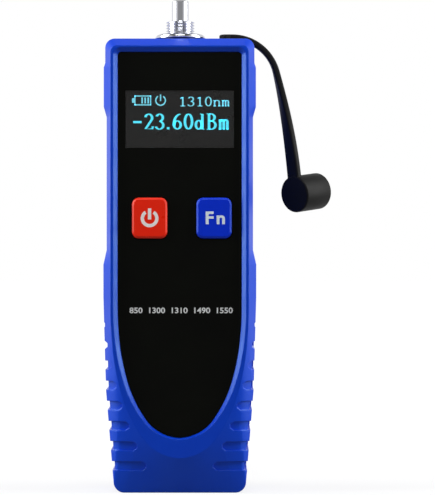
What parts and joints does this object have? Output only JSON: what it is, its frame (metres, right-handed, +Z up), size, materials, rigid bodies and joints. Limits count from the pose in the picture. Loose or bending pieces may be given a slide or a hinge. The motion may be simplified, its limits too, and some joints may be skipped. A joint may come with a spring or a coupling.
{
  "type": "optical power meter",
  "caption": "Handheld optical power meter in a bevelled rubber boot, with a display, two keys, a ferrule port with an adapter thread, a battery door and a tethered dust cap.",
  "frame": {"origin": "bottom centre of the boot's foot, in the plane where the two housing shells meet", "axes": "+Z up the length to the optical port, the face with display and keys looks along -Y, +X to the right seen from the front"},
  "size_m": [0.0634, 0.026, 0.1367],
  "materials": {
    "boot_rubber": "satin",
    "black_abs": "satin",
    "panel_black": "satin",
    "display_lens": "gloss",
    "oled_glass": "gloss",
    "holder_white": "satin",
    "key_red": "satin",
    "key_blue": "satin",
    "switch_black": "satin",
    "circuit_board": "satin",
    "chip_black": "satin",
    "ferrite": "satin",
    "nickel": "polished",
    "ceramic": "gloss",
    "detector_can": "satin",
    "contact_nickel": "satin",
    "cell_sleeve": "satin",
    "screw_steel": "satin",
    "cap_rubber": "satin"
  },
  "bodies": {
    "meter": {"boot": "boot_rubber", "front_shell": "black_abs", "rear_shell": "black_abs", "face_panel": "panel_black", "display_window": "display_lens", "oled_panel": "oled_glass", "display_holder": "holder_white", "power_switch": "switch_black", "fn_switch": "switch_black", "main_board": "circuit_board", "controller_chip": "chip_black", "amplifier_chip": "chip_black", "memory_chip": "chip_black", "boost_coil": "ferrite", "threaded_barrel": "nickel", "port_nut": "nickel", "ferrule_tube": "nickel", "split_sleeve": "ceramic", "detector": "detector_can", "bridge_contact": "contact_nickel", "positive_contact": "contact_nickel", "negative_contact": "contact_nickel", "lower_leaf": "contact_nickel", "upper_leaf": "contact_nickel", "battery_cell_1": "cell_sleeve", "battery_cell_2": "cell_sleeve", "case_screws": "screw_steel", "board_screws": "screw_steel"},
    "power_key": {"power_button": "key_red", "power_plunger": "switch_black"},
    "fn_key": {"fn_button": "key_blue", "fn_plunger": "switch_black"},
    "door": {"battery_door": "black_abs"},
    "cap": {"dust_cap": "cap_rubber"}
  },
  "joints": [
    {"name": "power_press", "type": "slide", "parent": "meter", "child": "power_key", "axis": [0, 1, 0], "range_m": [0, 0.0005], "stiffness_N_per_m": 800},
    {"name": "fn_press", "type": "slide", "parent": "meter", "child": "fn_key", "axis": [0, 1, 0], "range_m": [0, 0.0005], "stiffness_N_per_m": 800},
    {"name": "door_hinge", "type": "hinge", "parent": "meter", "child": "door", "pos_m": [0, 0.0126, 0.0121], "axis": [-1, 0, 0], "range_deg": [0, 60]},
    {"name": "tether_swing", "type": "hinge", "parent": "meter", "child": "cap", "pos_m": [0.013, 0, 0.1254], "axis": [0, 0, 1], "range_deg": [-20, 20]}
  ]
}
